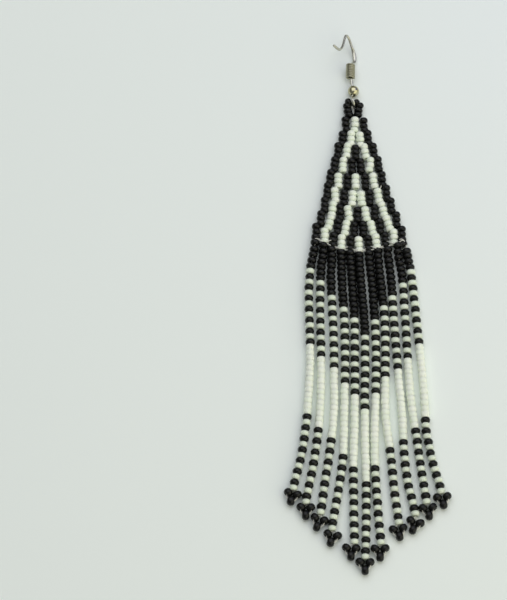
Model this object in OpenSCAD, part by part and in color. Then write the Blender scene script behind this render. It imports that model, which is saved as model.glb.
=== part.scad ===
// Fringe earring of seed beads, lying face up on a flat surface.
// A brick-stitched fan hangs from a wire ear hook and carries a fringe of bead strands,
// and each strand ends in a picot of three beads.
// X runs across the fringe, Y from the picots to the ear hook, and Z up from the surface.
// The origin is on the surface, under the middle of the outline. All sizes are in millimetres.

/* [Seed beads] */
// Diameter of a seed bead
bead_d = 2.16; // [2:0.02:2.2]
// Length of a seed bead along its hole
bead_l = 1.42; // [1.36:0.02:1.46]
// Diameter of the hole through a seed bead
bead_hole_d = 0.8; // [0.6:0.05:1]

/* [Panel] */
// Diameter of the bricks, each three beads on end, just inside their beads
brick_d = 2.06; // [1.9:0.02:2.08]
// Thickness of the stitched web that holds the bricks edge to edge
web_t = 1.2; // [0.8:0.1:1.6]
// Lean of the outermost bricks in degrees, their feet outward
brick_lean = 4.5; // [0:0.5:6]
// Length of the two top bricks, whose beads are the shortest
crown_l = 3.5; // [3.2:0.1:3.6]
// Lean of the two top bricks in degrees, their heads outward
crown_lean = 10; // [8:1:11]
// Distance from the eye of the hook to the middle of the bead on each side of it
crown_reach = 1.2; // [1.15:0.05:1.3]

/* [Fringe] */
// Width of a strand, just inside its beads
strand_d = 2; // [1.8:0.05:2.04]
// Bare thread between the panel and the first bead of a strand
strand_gap = 0.15; // [0.1:0.05:0.3]
// Distance from the middle of a picot to the middle of each of its beads
picot_r = 1.34; // [1.3:0.02:1.5]

/* [Ear hook] */
// Diameter of the hook's wire
wire_d = 0.62; // [0.56:0.02:0.66]
// Radius of the eye at the foot of the hook, to the middle of its wire
eye_r = 0.98; // [0.9:0.02:1]
// Diameter of the ball on the stem
ball_d = 2.9; // [2.6:0.1:3]
// Turn of the eye in degrees, its far side to the right
eye_turn = 8; // [4:1:9]
// Diameter of the bore through the ball
ball_bore_d = 1.2; // [1.15:0.05:1.3]
// Outside diameter of the coil on the stem
coil_d = 2.2; // [2.1:0.05:2.3]
// Diameter of the coil's wire
coil_wire_d = 0.48; // [0.4:0.02:0.5]
// Number of turns in the coil
coil_turns = 7; // [5:1:7]
// Rise of the stem above level, in degrees
stem_rise = 3; // [2:0.5:4]
// Angle between the arch of the hook and the upright, in degrees
arch_lean = 40; // [36:1:44]

/* [Hidden] */

jet = [0.09, 0.08, 0.08];
chalk = [0.86, 0.87, 0.8];
nickel = [0.6, 0.59, 0.53];
gold_nickel = [0.72, 0.69, 0.5];

// Rows of the panel, from the crown to the base. A row has one brick more than its number.
// across: middle of the row, along: middle of its middle brick, pitch: brick to brick,
// sag: how much a brick stands above the middle one, for each square of its place from the middle
// across, along, pitch, sag
ROWS = [
    [-1.72, 51.55, 2.65, 0],
    [-1.48, 47.7, 2.28, 0],
    [-1.40, 43.6, 2.20, 0.15],
    [-1.35, 39.6, 2.25, 0.12],
    [-1.30, 35.5, 2.23, 0.09],
    [-1.35, 31.2, 2.20, 0.13],
    [-1.30, 26.8, 2.17, 0.16],
    [-1.15, 22.4, 2.15, 0.15],
    [-0.95, 18.2, 2.13, 0.15],
    [-0.90, 14.2, 2.18, 0.115]
];
ROW_ACROSS = 0;
ROW_ALONG = 1;
ROW_PITCH = 2;
ROW_SAG = 3;
BRICK_BEADS = 3;

// Strands of the fringe, from left to right.
// black: black beads at the head, pitch: bead to bead, slack: more bare thread at the head,
// lie: how far the strand lies to the right of its brick, at the head and at each eighth of it
// black, pitch, slack, lie
STRANDS = [
    [5, 1.45, 0, [-0.2, -1.5, -2.0, -1.8, -1.8, -2.3, -3.0, -4.3, -6.2]],
    [7, 1.44, 0, [-0.25, -1.15, -1.35, -1.3, -1.3, -1.6, -2.4, -3.7, -5.4]],
    [9, 1.42, 0, [-0.3, -0.75, -0.5, -0.3, -0.3, -0.5, -1.4, -2.8, -4.0]],
    [11, 1.43, 0, [-0.3, -0.2, 0.2, 0.3, 0.1, -0.2, -0.6, -2.0, -3.5]],
    [13, 1.43, 0, [-0.2, 0.2, 0.6, 0.5, 0.4, 0.1, -0.3, -0.4, -0.4]],
    [16, 1.41, 0.2, [-0.2, 0.3, 0.9, 0.9, 0.6, 0.5, 0.5, 0.4, 0]],
    [13, 1.435, 0, [0.1, 0.8, 1.3, 1.4, 1.1, 0.7, 0.6, 1.0, 1.6]],
    [11, 1.40, 0, [0.2, 0.8, 1.5, 1.6, 1.3, 1.3, 2.2, 2.9, 3.8]],
    [9, 1.43, 0, [0.4, 1.2, 1.6, 2.0, 2.5, 3.1, 3.3, 4.0, 5.7]],
    [7, 1.44, 0, [0.6, 1.8, 2.2, 2.5, 2.8, 3.3, 4.3, 5.2, 6.3]],
    [5, 1.45, 0.9, [0.7, 1.9, 2.6, 3.2, 3.8, 4.3, 4.5, 5.8, 7.7]]
];
STRAND_BLACK = 0;
STRAND_PITCH = 1;
STRAND_SLACK = 2;
STRAND_LIE = 3;
// Beads below the black head: seven black and white pairs, thirteen white, seven pairs again
PATTERN_BEADS = 41;

// Picots, from left to right. drop: from the end of the strand to the middle of its picot,
// side: how far that lies to the right of the strand's line, turn: how far the picot is turned
// drop, side, turn in degrees
PICOTS = [
    [1.7, -0.1, -15], [1.6, 0.2, -2], [1.75, -0.35, -19], [1.75, 0.1, -14],
    [1.65, -0.8, -5], [1.7, -0.1, 0], [1.6, -0.3, 1], [1.7, -0.2, 8],
    [2, -0.5, -18], [1.65, 0.15, 7], [1.65, 0.1, 8]
];
PICOT_DROP = 0;
PICOT_SIDE = 1;
PICOT_TURN = 2;

// Middles of the eye and of the coil's two ends, and the stem's points between them
EYE = [-1.93, 54.2, 1.4];
BALL = [-1.68, 57, 1.45];
BALL_TURN = -4;
COIL_FOOT = [-2.5, 60.7, 1.66];
COIL_HEAD = [-2.35, 64.6, 1.88];
STEM = [
    [-1.88, 55.9, 1.42], [-1.77, 57, 1.46], [-1.7, 58.3, 1.53], [-2.1, 59.6, 1.6],
    [-2.4, 60.8, 1.67], [-2.4, 62.2, 1.74], [-2.3, 63.6, 1.81]
];
// Arch of the hook, from the coil's head. along: up the stem, out: towards the tail
// along, out
ARCH = [
    [0.1, -0.35], [0.6, -1.1], [1.4, -1.6], [2.6, -1.7], [3.9, -1.3], [5.1, -0.6], [6.2, 0],
    [7.1, 0.6], [7.6, 1.35], [7.3, 2.05], [6.3, 2.45], [4.9, 2.95], [3.6, 3.55], [2.7, 4.3],
    [2.4, 5.1], [2.5, 6], [2.8, 7.2]
];
// The arch's front ends at this point of it, and is hammered flat between these distances along it
FRONT_END = 5;
FLAT_FROM = 1.6;
FLAT_TO = 4.6;
// The flat stretch's width and thickness, as shares of the wire's
FLAT_WIDE = 1.25;
FLAT_THIN = 0.8;
// Angles of the eye's open end and of its joint with the stem, as seen from the right
EYE_START = -50;
EYE_END = -325;

tube_sides = 8;
eye_steps = 12;
bend_steps = 2;
coil_sides = 6;
coil_steps = 14;
strand_steps = 20;
columns = len(STRANDS);
base = len(ROWS) - 1;
brick_gap = 0.2;
brick_l = BRICK_BEADS * bead_l - brick_gap;
// Rounding of a seed bead's edges
bead_round = 0.56;

function unit(v) = v / norm(v);

// Value at t along a smooth curve through the listed values, one step apart
function smooth(list, t) =
    let (
        i = min(floor(t), len(list) - 2),
        f = t - i,
        a = list[max(i - 1, 0)],
        b = list[i],
        c = list[i + 1],
        d = list[min(i + 2, len(list) - 1)]
    )
    b + 0.5 * f * (c - a + f * (2 * a - 5 * b + 4 * c - d + f * (3 * (b - c) + d - a)));

// One ring of a tube: half widths wide and thin, wide lying as near to side as it can
function ring(p, ahead, side, wide, thin, sides) =
    let (
        t = unit(ahead),
        u = unit(side - (side * t) * t),
        v = cross(t, u)
    )
    [for (k = [0:sides - 1]) let (a = (k + 0.5) * 360 / sides) p + wide * cos(a) * u + thin * sin(a) * v];

// Direction of a route at its point i
function heading(route, i) =
    route[min(i + 1, len(route) - 1)] - route[max(i - 1, 0)];

// Closed skin over rings that all have the same number of points
module skin(rings) {
    n = len(rings[0]);
    last = (len(rings) - 1) * n;
    polyhedron(
        points = [for (r = rings) each r],
        faces = concat(
            [[for (k = [0:n - 1]) k]],
            [[for (k = [n - 1:-1:0]) last + k]],
            [for (i = [0:len(rings) - 2]) for (k = [0:n - 1])
                let (j = (k + 1) % n)
                [i * n + k, (i + 1) * n + k, (i + 1) * n + j, i * n + j]]
        )
    );
}

// Place of brick c in a row, from the middle one
function place(row, c) = c - (row + 1) / 2;

function brick_x(row, c) = ROWS[row][ROW_ACROSS] + place(row, c) * ROWS[row][ROW_PITCH];

function brick_y(row, c) = ROWS[row][ROW_ALONG] + pow(place(row, c), 2) * ROWS[row][ROW_SAG];

module brick(row, c) {
    lean = row == 0 ? -2 * crown_lean : brick_lean * 2 / (row + 1);
    translate([brick_x(row, c), brick_y(row, c), brick_d / 2])
        rotate([0, 0, lean * place(row, c)])
            rotate([90, 0, 0])
                cylinder(h = row == 0 ? crown_l : brick_l, d = brick_d, center = true, $fn = 24);
}

// The last bead on each side of the crown lies across it, its hole towards the eye of the hook
module crown_bead(side) {
    crown_bead_d = 2;
    crown_bead_l = 1.2;
    below_eye = 0.4;
    translate([EYE[0] + side * crown_reach, EYE[1] - below_eye, brick_d / 2])
        rotate([0, 90, 0])
            cylinder(h = crown_bead_l, d = crown_bead_d, center = true, $fn = 24);
}

// Flat web of thread and bead walls inside the outline of the bricks
module web() {
    inset = 0.7;
    crown_y = ROWS[0][ROW_ALONG] - crown_l / 2 + inset;
    left = [for (r = [1:base]) [brick_x(r, 0), brick_y(r, 0)]];
    right = [for (r = [base:-1:1]) [brick_x(r, r + 1), brick_y(r, r + 1)]];
    foot = [for (c = [0:columns - 1]) [brick_x(base, c), brick_y(base, c) - brick_l / 2 + inset]];
    translate([0, 0, brick_d / 2 - web_t / 2])
        linear_extrude(web_t)
            polygon(concat([[brick_x(0, 0), crown_y]], left, foot, right, [[brick_x(0, 1), crown_y]]));
}

module beaded_panel() {
    color(jet) {
        web();
        for (row = [0:base])
            for (c = [0:row + 1])
                brick(row, c);
        for (side = [-1, 1])
            crown_bead(side);
    }
}

function strand_length(i) = (STRANDS[i][STRAND_BLACK] + PATTERN_BEADS) * STRANDS[i][STRAND_PITCH];

function strand_x(i, share) =
    let (lie = STRANDS[i][STRAND_LIE])
    brick_x(base, i) + smooth(lie, share * (len(lie) - 1));

function strand_top(i) =
    brick_y(base, i) - BRICK_BEADS * bead_l / 2 - strand_gap - STRANDS[i][STRAND_SLACK];

// Middle line of a strand: equal steps along it, each as far down as its sideways part leaves
function strand_route(i) =
    let (step = strand_length(i) / strand_steps)
    [for (
        k = 0, x = strand_x(i, 0), y = strand_top(i);
        k <= strand_steps;
        k = k + 1,
        y = y - sqrt(step * step - pow(strand_x(i, min(k, strand_steps) / strand_steps) - x, 2)),
        x = strand_x(i, min(k, strand_steps) / strand_steps)
    ) [x, y, strand_d / 2]];

// Ring of a strand with a flat side down, at a share of its full width
function strand_ring(p, ahead, share) =
    let (half = share * strand_d / 2 / cos(180 / tube_sides))
    ring(p, ahead, [0, 0, 1], half, half, tube_sides);

// A strand with the rounding of its first and last beads at its ends
module strand(i) {
    bevel = 0.35;
    bevel_share = 0.75;
    route = strand_route(i);
    last = len(route) - 1;
    start = heading(route, 0);
    end = heading(route, last);
    color(chalk)
        skin(concat(
            [strand_ring(route[0], start, bevel_share)],
            [strand_ring(route[0] + bevel * unit(start), start, 1)],
            [for (k = [1:last - 1]) strand_ring(route[k], heading(route, k), 1)],
            [strand_ring(route[last] - bevel * unit(end), end, 1)],
            [strand_ring(route[last], end, bevel_share)]
        ));
}

// A seed bead with its hole along X, round over its edges
module seed_bead() {
    corner_steps = 5;
    corner = [for (k = [0:corner_steps]) let (a = 90 * k / corner_steps)
        [bead_d / 2 - bead_round + bead_round * cos(a), bead_l / 2 - bead_round + bead_round * sin(a)]];
    upper = concat(corner, [[bead_hole_d / 2, bead_l / 2]]);
    lower = [for (k = [len(upper) - 1:-1:0]) [upper[k][0], -upper[k][1]]];
    rotate([0, 90, 0])
        rotate_extrude($fn = 32)
            polygon(concat(lower, upper));
}

module picot(i) {
    route = strand_route(i);
    last = len(route) - 1;
    middle = route[last] + PICOTS[i][PICOT_DROP] * unit(heading(route, last));
    color(jet)
        translate([middle[0] + PICOTS[i][PICOT_SIDE], middle[1], bead_d / 2])
            for (bearing = [30, 150, 270])
                rotate([0, 0, bearing + PICOTS[i][PICOT_TURN]])
                    translate([picot_r, 0, 0])
                        rotate([0, 0, 90])
                            seed_bead();
}

// The arch stands on the stem's line and leans to the left as it rises
stem_line = [0, cos(stem_rise), sin(stem_rise)];
arch_out = [-sin(arch_lean), -cos(arch_lean) * sin(stem_rise), cos(arch_lean) * cos(stem_rise)];
arch_side = cross(stem_line, arch_out);

eye_line = [-sin(eye_turn), cos(eye_turn), 0];
eye_route = [for (k = [0:eye_steps]) let (a = EYE_START + (EYE_END - EYE_START) * k / eye_steps)
    EYE + eye_r * cos(a) * eye_line + [0, 0, eye_r * sin(a)]];
arch_route = [for (p = ARCH) COIL_HEAD + p[0] * stem_line + p[1] * arch_out];

// Share of the flattening at a distance up the front of the arch: none outside the flat stretch
function flat_share(along) =
    along < FLAT_FROM || along > FLAT_TO ? 0 : sqrt(sin(180 * (along - FLAT_FROM) / (FLAT_TO - FLAT_FROM)));

module ear_hook() {
    bend = concat(STEM, arch_route);
    route = concat(eye_route, [for (k = [0:bend_steps * (len(bend) - 1)]) smooth(bend, k / bend_steps)]);
    stem_start = len(eye_route);
    arch_start = stem_start + bend_steps * len(STEM);
    front_end = arch_start + bend_steps * FRONT_END;
    color(nickel)
        skin([for (k = [0:len(route) - 1])
            let (
                along = (route[k] - COIL_HEAD) * stem_line,
                flat = k >= arch_start && k <= front_end ? flat_share(along) : 0,
                turn = max(0, min(1, (k - stem_start) / (arch_start - stem_start)))
            )
            ring(
                route[k], heading(route, k), (1 - turn) * [1, 0, 0] + turn * arch_side,
                wire_d / 2 * (1 + flat * (FLAT_WIDE - 1)),
                wire_d / 2 * (1 - flat * (1 - FLAT_THIN)),
                tube_sides
            )]);
}

module ball() {
    color(gold_nickel)
        translate(BALL)
            rotate([-90, 0, BALL_TURN])
                difference() {
                    sphere(d = ball_d, $fn = 48);
                    cylinder(h = ball_d + 1, d = ball_bore_d, center = true, $fn = 32);
                }
}

module coil() {
    line = unit(COIL_HEAD - COIL_FOOT);
    u = unit(cross(line, [0, 0, 1]));
    v = cross(u, line);
    steps = coil_turns * coil_steps;
    length = norm(COIL_HEAD - COIL_FOOT) - coil_wire_d;
    r = (coil_d - coil_wire_d) / 2;
    route = [for (k = [0:steps]) let (a = 360 * k / coil_steps)
        COIL_FOOT + (coil_wire_d / 2 + length * k / steps) * line + r * (cos(a) * u + sin(a) * v)];
    color(nickel)
        skin([for (k = [0:steps])
            ring(route[k], heading(route, k), line, coil_wire_d / 2, coil_wire_d / 2, coil_sides)]);
}

ear_hook();
ball();
coil();
beaded_panel();
strand(0);  // strand_01
strand(1);  // strand_02
strand(2);  // strand_03
strand(3);  // strand_04
strand(4);  // strand_05
strand(5);  // strand_06
strand(6);  // strand_07
strand(7);  // strand_08
strand(8);  // strand_09
strand(9);  // strand_10
strand(10);  // strand_11
picot(0);  // picot_01
picot(1);  // picot_02
picot(2);  // picot_03
picot(3);  // picot_04
picot(4);  // picot_05
picot(5);  // picot_06
picot(6);  // picot_07
picot(7);  // picot_08
picot(8);  // picot_09
picot(9);  // picot_10
picot(10);  // picot_11
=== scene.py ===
"""Dress the beaded fringe earring: seed beads on their threads, the stitched fan and the wire ear hook.

The earring lies face up on a pale surface, with its picots towards the camera and its ear hook away
from it. X runs across the fringe, Y from the picots to the hook, and Z up. Sizes here are in
millimetres, and each mesh is written in metres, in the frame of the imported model.
"""

import logging
import math
from dataclasses import dataclass, field
from enum import Enum
from typing import Any, Sequence

import bpy
from mathutils import Matrix, Vector


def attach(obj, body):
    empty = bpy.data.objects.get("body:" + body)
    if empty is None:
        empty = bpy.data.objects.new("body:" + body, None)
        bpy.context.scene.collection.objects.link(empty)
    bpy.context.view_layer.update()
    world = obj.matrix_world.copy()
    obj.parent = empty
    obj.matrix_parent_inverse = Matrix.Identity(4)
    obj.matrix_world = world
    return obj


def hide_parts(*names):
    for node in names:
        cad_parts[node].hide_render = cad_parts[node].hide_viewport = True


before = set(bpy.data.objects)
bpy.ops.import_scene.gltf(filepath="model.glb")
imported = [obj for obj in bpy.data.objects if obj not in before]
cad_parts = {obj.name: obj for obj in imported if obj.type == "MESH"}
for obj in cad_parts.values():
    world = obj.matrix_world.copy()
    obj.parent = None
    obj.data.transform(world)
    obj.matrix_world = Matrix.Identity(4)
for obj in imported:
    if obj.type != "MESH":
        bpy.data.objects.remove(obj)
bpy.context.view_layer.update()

LOG = logging.getLogger("beaded_earring")
MM = 0.001
BODY = "root"
UP = Vector((0.0, 0.0, 1.0))

Pair = tuple[float, float]
Triple = tuple[float, float, float]
Four = tuple[float, float, float, float]
Inputs = dict[int | str, Any]
Piece = bpy.types.Object
Socket = bpy.types.NodeSocket
Tree = bpy.types.NodeTree


class Glass(Enum):
    """The two colours of glass that the beads are made of."""

    WHITE = "W"
    BLACK = "B"


def linear(hex_code: str) -> Four:
    """Turn an sRGB hex colour into linear light.

    Args:
        hex_code: A hash and six hex digits.

    Returns:
        Red, green, blue and an alpha of one.
    """
    channels = [int(hex_code[at:at + 2], 16) / 255 for at in (1, 3, 5)]
    light = [c / 12.92 if c <= 0.04045 else ((c + 0.055) / 1.055) ** 2.4 for c in channels]
    return (light[0], light[1], light[2], 1.0)


def socket_of(sockets: Any, key: int | str = "") -> Socket:
    """Find a node's socket by its place or its name, or else the first one in use."""
    if isinstance(key, int):
        return sockets[key]
    return next(socket for socket in sockets if socket.enabled and key in ("", socket.name))


def add_node(tree: Tree, kind: str, inputs: Inputs | None = None, **settings: Any) -> bpy.types.Node:
    """Add one node with its input values, its links and its settings.

    Args:
        tree: The tree that the node goes in.
        kind: Blender's name for the kind of node.
        inputs: For each input socket, a value or the output socket that feeds it.
        settings: The node's own settings, by name.

    Returns:
        The new node.
    """
    node = tree.nodes.new(kind)
    for name, value in settings.items():
        setattr(node, name, value)
    for key, value in (inputs or {}).items():
        socket = socket_of(node.inputs, key)
        if isinstance(value, Socket):
            tree.links.new(value, socket)
        else:
            socket.default_value = value
    return node


def made_by(tree: Tree, kind: str, inputs: Inputs | None = None, **settings: Any) -> Socket:
    """Add one node as add_node does, and return its first output in use."""
    return socket_of(add_node(tree, kind, inputs, **settings).outputs)


def smooth(points: Sequence[Any], t: float) -> Any:
    """Read a smooth curve through evenly spaced values.

    Args:
        points: Numbers or vectors, one step apart.
        t: How many steps along to read.

    Returns:
        The value there, of the same kind as the points.
    """
    i = min(int(t), len(points) - 2)
    f = t - i
    before, here = points[max(i - 1, 0)], points[i]
    ahead, after = points[i + 1], points[min(i + 2, len(points) - 1)]
    bend = 3 * (here - ahead) + after - before
    return here + 0.5 * f * (ahead - before + f * (2 * before - 5 * here + 4 * ahead - after + f * bend))


def bearing(degrees: float) -> Vector:
    """Give the level direction at an angle from +X, counted towards +Y."""
    return Vector((math.cos(math.radians(degrees)), math.sin(math.radians(degrees)), 0.0))


def new_object(name: str, mesh: bpy.types.Mesh) -> Piece:
    """Put a mesh in the scene as an object at the origin."""
    piece = bpy.data.objects.new(name, mesh)
    bpy.context.scene.collection.objects.link(piece)
    return piece


def mesh_of(name: str, points: Sequence[Vector], faces: Sequence[Sequence[int]]) -> bpy.types.Mesh:
    """Make a smooth-shaded mesh from points in metres."""
    mesh = bpy.data.meshes.new(name)
    mesh.from_pydata(points, [], faces, shade_flat=False)
    mesh.update()
    return mesh


def turned(name: str, section: Sequence[Pair], sides: int) -> bpy.types.Mesh:
    """Turn a closed outline round Z, as on a lathe.

    Args:
        name: The mesh's name.
        section: The outline's points, as distances from the axis and heights, in millimetres,
            running anticlockwise.
        sides: How many steps make a full turn.

    Returns:
        A closed ring that looks outwards.
    """
    count = len(section)
    aims = [bearing(360 * side / sides) for side in range(sides)]
    points = [(aim * out + UP * up) * MM for aim in aims for out, up in section]
    faces = []
    for side in range(sides):
        here, there = side * count, (side + 1) % sides * count
        for k in range(count):
            m = (k + 1) % count
            faces.append([here + k, there + k, there + m, here + m])
    return mesh_of(name, points, faces)


def path_of(name: str, lines: Sequence[Sequence[Vector]]) -> bpy.types.Mesh:
    """Join each line's points, in millimetres, by edges."""
    edges = []
    first = 0
    for line in lines:
        edges += [(first + k, first + k + 1) for k in range(len(line) - 1)]
        first += len(line)
    mesh = bpy.data.meshes.new(name)
    mesh.from_pydata([point * MM for line in lines for point in line], edges, [])
    return mesh


def marked(mesh: bpy.types.Mesh, kinds: dict[str, str]) -> list[Any]:
    """Add attributes to a mesh's points.

    Args:
        mesh: The mesh.
        kinds: The kind of each attribute, by name.

    Returns:
        The values of each attribute, to be set, in order.
    """
    for name, kind in kinds.items():
        mesh.attributes.new(name, kind, "POINT")
    return [mesh.attributes[name].data for name in kinds]


class PieceTree:
    """A Geometry Nodes tree with named inputs, which turns a rough piece into a finished one."""

    def __init__(self, name: str, inputs: dict[str, str]) -> None:
        """Make a tree that holds nothing but its inputs.

        Args:
            name: The tree's name.
            inputs: The kind of each input, by name. The piece's own geometry comes first.
        """
        self.tree = bpy.data.node_groups.new(name, "GeometryNodeTree")
        for label, kind in inputs.items():
            self.tree.interface.new_socket(label, in_out="INPUT", socket_type=f"NodeSocket{kind}")
        self.tree.interface.new_socket("Piece", in_out="OUTPUT", socket_type="NodeSocketGeometry")
        self.given = add_node(self.tree, "NodeGroupInput").outputs
        self.sockets = {
            item.name: item.identifier
            for item in self.tree.interface.items_tree
            if item.item_type == "SOCKET" and item.in_out == "INPUT"
        }

    def add(self, kind: str, inputs: Inputs | None = None, **settings: Any) -> Socket:
        """Add one node to the tree, and return its first output in use."""
        return made_by(self.tree, kind, inputs, **settings)

    def tube(self, curve: Socket, thickness: Socket, sides: Socket) -> Socket:
        """Draw a round wire or thread along a curve, with closed ends."""
        radius = self.add("ShaderNodeMath", {0: thickness, 1: 2.0}, operation="DIVIDE")
        ring = self.add("GeometryNodeCurvePrimitiveCircle", {"Resolution": sides, "Radius": radius})
        drawn = {"Curve": curve, "Profile Curve": ring, "Fill Caps": True}
        return self.add("GeometryNodeCurveToMesh", drawn)

    def dressed(self, geometry: Socket, material: Socket) -> Socket:
        """Make instances real and give them their material."""
        real = self.add("GeometryNodeRealizeInstances", {"Geometry": geometry})
        return self.add("GeometryNodeSetMaterial", {"Geometry": real, "Material": material})

    def deliver(self, geometry: Socket) -> None:
        """Give the finished geometry out."""
        add_node(self.tree, "NodeGroupOutput", {"Piece": geometry})

    def finish(self, piece: Piece, values: dict[str, Any], spare: Sequence[str] = ()) -> None:
        """Run the tree on a piece, keep what it makes as the piece's plain mesh, and drop the modifier.

        Args:
            piece: The rough piece.
            values: The value of each input, by name.
            spare: Attributes that the finished mesh doesn't need.
        """
        modifier = piece.modifiers.new(self.tree.name, "NODES")
        modifier.node_group = self.tree
        for label, value in values.items():
            modifier[self.sockets[label]] = value
        depsgraph = bpy.context.evaluated_depsgraph_get()
        made = bpy.data.meshes.new_from_object(
            piece.evaluated_get(depsgraph), preserve_all_data_layers=True, depsgraph=depsgraph
        )
        made.name = piece.name
        piece.modifiers.clear()
        rough, piece.data = piece.data, made
        bpy.data.meshes.remove(rough)
        for name in spare:
            if name in made.attributes:
                made.attributes.remove(made.attributes[name])


@dataclass(frozen=True)
class Finish:
    """A surface finish. Each kind of finish adds its own nodes.

    Attributes:
        name: What the material is and how it was made.
        colour: The main sRGB colour.
        roughness: How dull the surface is.
    """

    name: str
    colour: str
    roughness: float

    def surface(self, tree: Tree) -> Inputs:
        """Add the finish's own nodes, and return the inputs of its shader."""
        raise NotImplementedError

    def material(self) -> bpy.types.Material:
        """Return the material, and build it the first time."""
        made = bpy.data.materials.get(self.name)
        if made is None:
            made = bpy.data.materials.new(self.name)
            made.use_nodes = True
            tree = made.node_tree
            tree.nodes.clear()
            shader = made_by(tree, "ShaderNodeBsdfPrincipled", self.surface(tree))
            add_node(tree, "ShaderNodeOutputMaterial", {"Surface": shader})
            made.diffuse_color = linear(self.colour)
        return made

    @staticmethod
    def grain(tree: Tree, size_mm: float, detail: float) -> Socket:
        """Add noise of a real size on Object coordinates."""
        place = add_node(tree, "ShaderNodeTexCoord").outputs["Object"]
        noise = {"Vector": place, "Scale": 1 / (size_mm * MM), "Detail": detail}
        return made_by(tree, "ShaderNodeTexNoise", noise)


@dataclass(frozen=True)
class BeadGlass(Finish):
    """Opaque pressed glass, tumbled smooth. No two beads have quite the same shade.

    Attributes:
        other_colour: The sRGB colour of the beads at the other end of the batch.
        grain_mm: Size of the low unevenness that tumbling leaves.
        bump_mm: Depth of that unevenness.
        gloss: Strength of the reflection, with a half for clean glass.
        glow_mm: How far light spreads inside the glass, or nought where it doesn't.
        glow_share: How much of the light does so.
        uneven: How far the roughness differs over a bead.
        grain_detail: How many finer layers the unevenness has.
        refraction: The glass's index of refraction.
    """

    other_colour: str
    grain_mm: float
    bump_mm: float
    gloss: float
    glow_mm: float = 0.0
    glow_share: float = 0.7
    uneven: float = 0.08
    grain_detail: float = 2.0
    refraction: float = 1.52

    def surface(self, tree: Tree) -> Inputs:
        """Mix the glass's two colours by the bead's tone, which holds painted shade on white beads set among
        black ones, and roughen the gloss a little.
        """
        tone = add_node(tree, "ShaderNodeAttribute", attribute_name="tone").outputs["Fac"]
        shades = {"Factor": tone, "A": linear(self.colour), "B": linear(self.other_colour)}
        grain = self.grain(tree, self.grain_mm, self.grain_detail)
        least, most = self.roughness - self.uneven, self.roughness + self.uneven
        dull = {"Value": grain, "To Min": least, "To Max": most}
        bumps = {"Height": grain, "Distance": self.bump_mm * MM, "Strength": 1.0}
        return {
            "Base Color": made_by(tree, "ShaderNodeMix", shades, data_type="RGBA"),
            "Roughness": made_by(tree, "ShaderNodeMapRange", dull),
            "IOR": self.refraction,
            "Specular IOR Level": self.gloss,
            "Subsurface Weight": self.glow_share if self.glow_mm else 0.0,
            "Subsurface Radius": (1.0, 1.0, 1.0),
            "Subsurface Scale": self.glow_mm * MM,
            "Normal": made_by(tree, "ShaderNodeBump", bumps),
        }


@dataclass(frozen=True)
class PlatedMetal(Finish):
    """Thin plating on drawn wire or a pressed ball, with handling marks.

    Attributes:
        worn_colour: The sRGB colour where the plating has dulled.
        mark_mm: Size of the dull patches.
        brighter: How much less rough than usual the brightest patches are.
        duller: How much rougher than usual the dullest patches are.
        mark_detail: How many finer layers the patches have.
    """

    worn_colour: str
    mark_mm: float
    brighter: float = 0.06
    duller: float = 0.1
    mark_detail: float = 3.0

    def surface(self, tree: Tree) -> Inputs:
        """Mix bright and dull plating in patches."""
        marks = self.grain(tree, self.mark_mm, self.mark_detail)
        shades = {"Factor": marks, "A": linear(self.colour), "B": linear(self.worn_colour)}
        least, most = self.roughness - self.brighter, self.roughness + self.duller
        dull = {"Value": marks, "To Min": least, "To Max": most}
        return {
            "Base Color": made_by(tree, "ShaderNodeMix", shades, data_type="RGBA"),
            "Metallic": 1.0,
            "Roughness": made_by(tree, "ShaderNodeMapRange", dull),
        }


@dataclass(frozen=True)
class TwistedThread(Finish):
    """Twisted beading thread.

    Attributes:
        ply_mm: Spacing of the twist's plies.
        ply_depth_mm: Depth of the grooves between them.
        ply_detail: How many finer layers they have.
        sheen: Strength of the thread's pale sheen.
    """

    ply_mm: float
    ply_depth_mm: float = 0.02
    ply_detail: float = 1.0
    sheen: float = 0.3

    def surface(self, tree: Tree) -> Inputs:
        """Break up a pale sheen with the plies of the twist."""
        plies = self.grain(tree, self.ply_mm, self.ply_detail)
        grooves = {"Height": plies, "Distance": self.ply_depth_mm * MM, "Strength": 1.0}
        return {
            "Base Color": linear(self.colour),
            "Roughness": self.roughness,
            "Sheen Weight": self.sheen,
            "Normal": made_by(tree, "ShaderNodeBump", grooves),
        }


@dataclass(frozen=True)
class MattBoard(Finish):
    """Smooth pale board.

    Attributes:
        gloss: Strength of the reflection, with a half for a clean coat.
    """

    gloss: float = 0.2

    def surface(self, tree: Tree) -> Inputs:
        """Give a plain, even board with next to no gloss."""
        coat = {"Roughness": self.roughness, "Specular IOR Level": self.gloss}
        return coat | {"Base Color": linear(self.colour)}


# Opaque black glass, half gloss: a soft grey light on each bead's crown, near black in the grooves.
BLACK_GLASS = BeadGlass("black_pressed_glass", "#0C0C0B", 0.13, "#131311", 0.35, 0.003, 0.25)
# Chalk-white glass, half gloss: creamy where beads light each other, whiter on their crowns. Its second,
# greyer colour is painted shade on white beads that lie among black ones.
WHITE_GLASS = BeadGlass("chalk_white_pressed_glass", "#F6FEEB", 0.42, "#DFE6D4", 0.35, 0.004, 0.28, 0.15)
# Nickel plate on drawn steel wire: dull silver with a yellow cast, its reflections drawn out long.
NICKEL_WIRE = PlatedMetal("nickel_plated_drawn_wire", "#D2D1C4", 0.24, "#BAB7A9", 1.2)
# The same plate on the coil, darker, more olive and a little rougher all over than the straight wire, with
# smaller dull patches.
COIL_WIRE = PlatedMetal("rubbed_nickel_plated_coil_wire", "#B9B69F", 0.36, "#96937C", 0.6)
# Bright plating on a pressed ball: pale gold lights over an olive grey.
PLATED_BALL = PlatedMetal("bright_plated_pressed_ball", "#D0CBAC", 0.14, "#B0A985", 1.5)
# White twisted polyester thread, a little grey and waxed: a dull line that catches light on its plies.
WHITE_THREAD = TwistedThread("white_twisted_polyester_thread", "#E6E4DA", 0.6, 0.12)
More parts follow.
